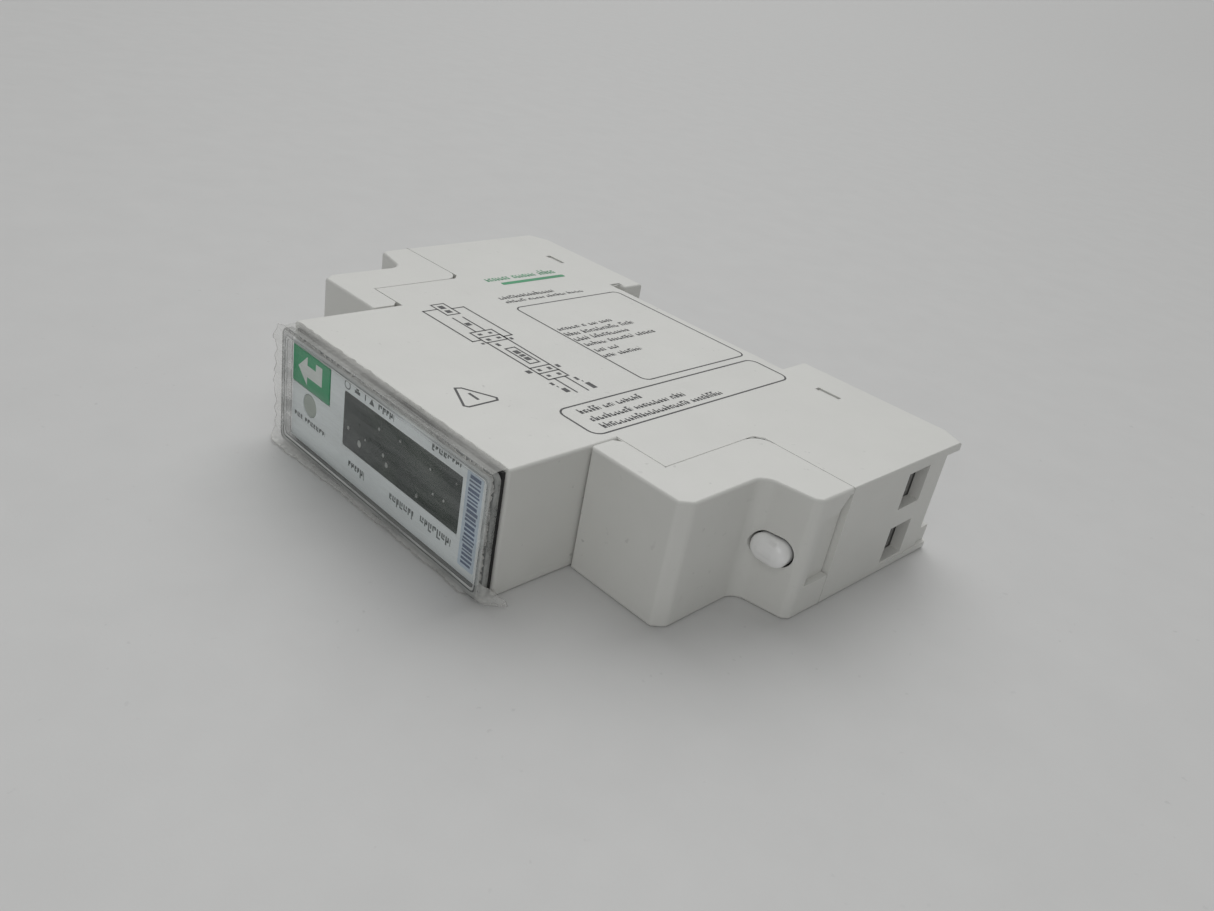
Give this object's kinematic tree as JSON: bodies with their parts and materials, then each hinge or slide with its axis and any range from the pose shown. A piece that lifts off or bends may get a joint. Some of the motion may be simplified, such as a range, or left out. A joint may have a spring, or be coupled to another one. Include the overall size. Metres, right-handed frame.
{
  "type": "smart electric meter",
  "caption": "Slim rail-mounted electric energy meter with stepped sides, clear front window over a display and key, and removable terminal covers at both ends.",
  "frame": {"origin": "centre of the bounding box in X and Y, at the lowest face, the side wall that it lies on", "axes": "+X along the meter's long side from one terminal end to the other, +Y from the display to the rail, +Z across the module's width"},
  "size_m": [0.0926, 0.0658, 0.0175],
  "materials": {
    "shell": "fine satin moulding",
    "plug_white": "glossy",
    "terminal_grey": "matte",
    "signal_green": "matte",
    "copper": "tinned at the ends",
    "shunt_alloy": "dull",
    "red_sleeve": "satin",
    "clear_window": "clear moulded plastic",
    "black_rubber": "matte",
    "face_print": "printed film",
    "key_green": "printed pad",
    "black_plastic": "matte",
    "lens_grey": "translucent",
    "led_red": "clear",
    "display_dark": "dark polariser",
    "frame_white": "satin",
    "strip_rubber": "matte",
    "board_green": "solder mask",
    "film_yellow": "moulded box",
    "cap_sleeve": "shrunk sleeve",
    "varistor_blue": "dipped coating",
    "resistor_paint": "lacquer",
    "transformer_dark": "varnished",
    "steel": "zinc plated"
  },
  "bodies": {
    "main": {"main_housing": "shell", "side_lid": "shell", "near_terminal_block": "terminal_grey", "far_terminal_block": "terminal_grey", "near_line_bar": "copper", "far_line_bar": "copper", "shunt_element": "shunt_alloy", "neutral_bar": "copper", "sense_leads": "red_sleeve", "near_signal_block": "signal_green", "far_signal_block": "signal_green", "near_signal_clips": "steel", "far_signal_clips": "steel", "front_window": "clear_window", "window_gasket": "black_rubber", "face_plate": "face_print", "key_switch": "steel", "pulse_lens": "lens_grey", "pulse_led": "led_red", "lcd_glass": "display_dark", "lcd_frame": "frame_white", "backlight_diffuser": "frame_white", "backlight_leds": "frame_white", "contact_strips": "strip_rubber", "display_board": "board_green", "display_chip": "black_plastic", "board_header": "black_plastic", "main_board": "board_green", "processor_chip": "black_plastic", "metering_chip": "black_plastic", "clock_crystal": "steel", "optocouplers": "black_plastic", "bridge_rectifier": "black_plastic", "film_capacitor": "film_yellow", "storage_capacitors": "cap_sleeve", "surge_varistor": "varistor_blue", "fuse_resistor": "resistor_paint", "supply_transformer": "transformer_dark", "bus_driver_chip": "black_plastic", "latch_spring": "steel"},
    "near_cover": {"near_cover": "shell"},
    "far_cover": {"far_cover": "shell"},
    "near_plug": {"near_plug": "plug_white"},
    "far_plug": {"far_plug": "plug_white"},
    "scroll_key": {"scroll_key": "key_green", "key_plunger": "black_plastic"},
    "rail_latch": {"rail_latch": "black_plastic"},
    "near_line_screw": {"near_line_screw": "steel"},
    "near_line_cage": {"near_line_cage": "steel"},
    "near_neutral_screw": {"near_neutral_screw": "steel"},
    "near_neutral_cage": {"near_neutral_cage": "steel"},
    "far_line_screw": {"far_line_screw": "steel"},
    "far_line_cage": {"far_line_cage": "steel"},
    "far_neutral_screw": {"far_neutral_screw": "steel"},
    "far_neutral_cage": {"far_neutral_cage": "steel"}
  },
  "joints": [
    {"name": "near_cover_slide", "type": "slide", "parent": "main", "child": "near_cover", "axis": [0, -1, 0], "range_m": [0, 0.026]},
    {"name": "near_plug_pull", "type": "slide", "parent": "near_cover", "child": "near_plug", "axis": [0, -1, 0], "range_m": [0, 0.006]},
    {"name": "near_line_screw_turn", "type": "hinge", "parent": "main", "child": "near_line_screw", "pos_m": [0.0404, 0.00945, 0.0045], "axis": [0, 1, 0], "range_deg": [0, 1800]},
    {"name": "near_line_cage_lift", "type": "slide", "parent": "main", "child": "near_line_cage", "axis": [0, -1, 0], "range_m": [0, 0.0035]},
    {"name": "near_neutral_screw_turn", "type": "hinge", "parent": "main", "child": "near_neutral_screw", "pos_m": [0.0404, 0.00945, 0.013], "axis": [0, 1, 0], "range_deg": [0, 1800]},
    {"name": "near_neutral_cage_lift", "type": "slide", "parent": "main", "child": "near_neutral_cage", "axis": [0, -1, 0], "range_m": [0, 0.0035]},
    {"name": "far_cover_slide", "type": "slide", "parent": "main", "child": "far_cover", "axis": [0, -1, 0], "range_m": [0, 0.026]},
    {"name": "far_plug_pull", "type": "slide", "parent": "far_cover", "child": "far_plug", "axis": [0, -1, 0], "range_m": [0, 0.006]},
    {"name": "far_line_screw_turn", "type": "hinge", "parent": "main", "child": "far_line_screw", "pos_m": [-0.0404, 0.00945, 0.0045], "axis": [0, 1, 0], "range_deg": [0, 1800]},
    {"name": "far_line_cage_lift", "type": "slide", "parent": "main", "child": "far_line_cage", "axis": [0, -1, 0], "range_m": [0, 0.0035]},
    {"name": "far_neutral_screw_turn", "type": "hinge", "parent": "main", "child": "far_neutral_screw", "pos_m": [-0.0404, 0.00945, 0.013], "axis": [0, 1, 0], "range_deg": [0, 1800]},
    {"name": "far_neutral_cage_lift", "type": "slide", "parent": "main", "child": "far_neutral_cage", "axis": [0, -1, 0], "range_m": [0, 0.0035]},
    {"name": "scroll_key_press", "type": "slide", "parent": "main", "child": "scroll_key", "axis": [0, 1, 0], "range_m": [0, 0.0005], "stiffness_N_per_m": 1500, "springref_m": -0.0003},
    {"name": "rail_latch_pull", "type": "slide", "parent": "main", "child": "rail_latch", "axis": [1, 0, 0], "range_m": [0, 0.0025], "stiffness_N_per_m": 1000, "springref_m": -0.001, "deforming": ["latch_spring"]}
  ],
  "couplings": [
    {"joint": "near_line_screw_turn", "follows": "near_line_cage_lift", "rad_per_m": 8975.9},
    {"joint": "near_neutral_screw_turn", "follows": "near_neutral_cage_lift", "rad_per_m": 8975.9},
    {"joint": "far_line_screw_turn", "follows": "far_line_cage_lift", "rad_per_m": 8975.9},
    {"joint": "far_neutral_screw_turn", "follows": "far_neutral_cage_lift", "rad_per_m": 8975.9}
  ]
}
